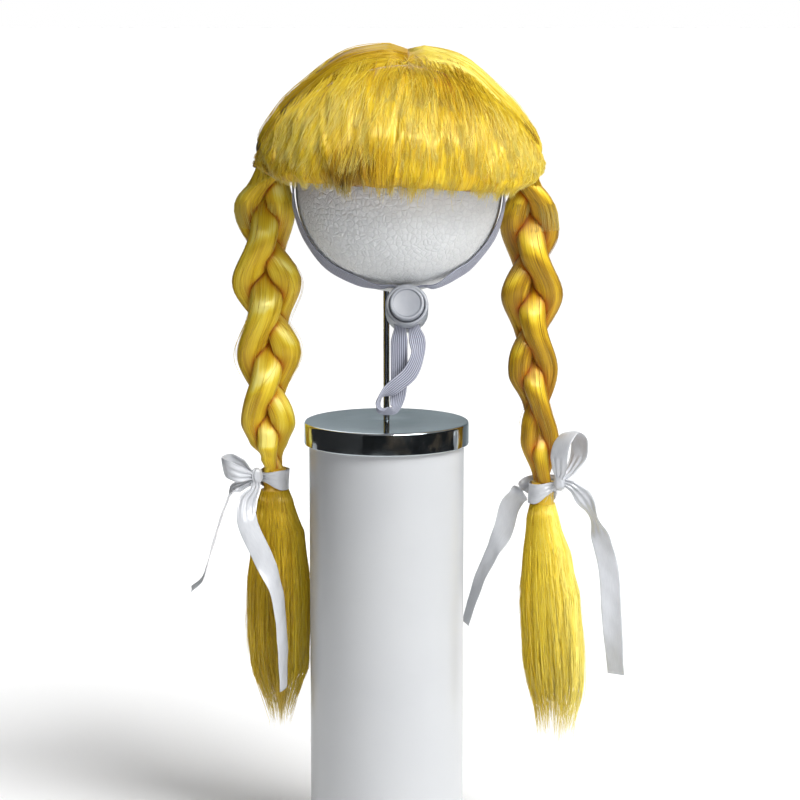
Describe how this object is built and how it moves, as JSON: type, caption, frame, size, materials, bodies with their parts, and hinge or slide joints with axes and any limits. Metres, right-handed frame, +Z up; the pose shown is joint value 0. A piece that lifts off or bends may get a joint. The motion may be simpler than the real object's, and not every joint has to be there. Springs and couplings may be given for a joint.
{
  "type": "pet wig on a display stand",
  "caption": "Small animal's wig with a fringe, two plaited braids tied with ribbon bows and an elastic chin strap with a lock, on a plain round stand.",
  "frame": {"origin": "middle of the stand's column, on the face that rests on the floor", "axes": "+Z up along the column, -Y to the wig's front, +X to the right as seen from the front"},
  "size_m": [0.2164, 0.137, 0.403],
  "materials": {
    "white_column": "turned wood, painted smooth white",
    "chrome_plate": "bright plated",
    "foam": "white beaded foam",
    "cap_cloth": "knitted wig base",
    "hair": "glossy synthetic hair fibre",
    "satin_ribbon": "white satin",
    "elastic": "ribbed white elastic",
    "lock_plastic": "milky moulded plastic"
  },
  "bodies": {
    "wig_and_stand": {"stand_column": "white_column", "stand_lid": "chrome_plate", "stand_rod": "chrome_plate", "stand_ball": "foam", "wig_cap": "cap_cloth", "crown_left": "hair", "crown_right": "hair", "fringe": "hair", "braid_left_strand_1": "hair", "braid_left_strand_2": "hair", "braid_left_strand_3": "hair", "tail_left": "hair", "braid_right_strand_1": "hair", "braid_right_strand_2": "hair", "braid_right_strand_3": "hair", "tail_right": "hair", "bow_left_band": "satin_ribbon", "bow_left_knot": "satin_ribbon", "bow_left_loop": "satin_ribbon", "bow_left_tail_outer": "satin_ribbon", "bow_left_tail_inner": "satin_ribbon", "bow_right_band": "satin_ribbon", "bow_right_knot": "satin_ribbon", "bow_right_loop": "satin_ribbon", "bow_right_tail_outer": "satin_ribbon", "bow_right_tail_inner": "satin_ribbon", "lock_body": "lock_plastic", "chin_strap": "elastic"},
    "button": {"lock_button": "lock_plastic"}
  },
  "joints": [
    {"name": "button_press", "type": "slide", "parent": "wig_and_stand", "child": "button", "axis": [0, 0.9272, -0.3746], "range_m": [0, 0.003], "stiffness_N_per_m": 400}
  ]
}
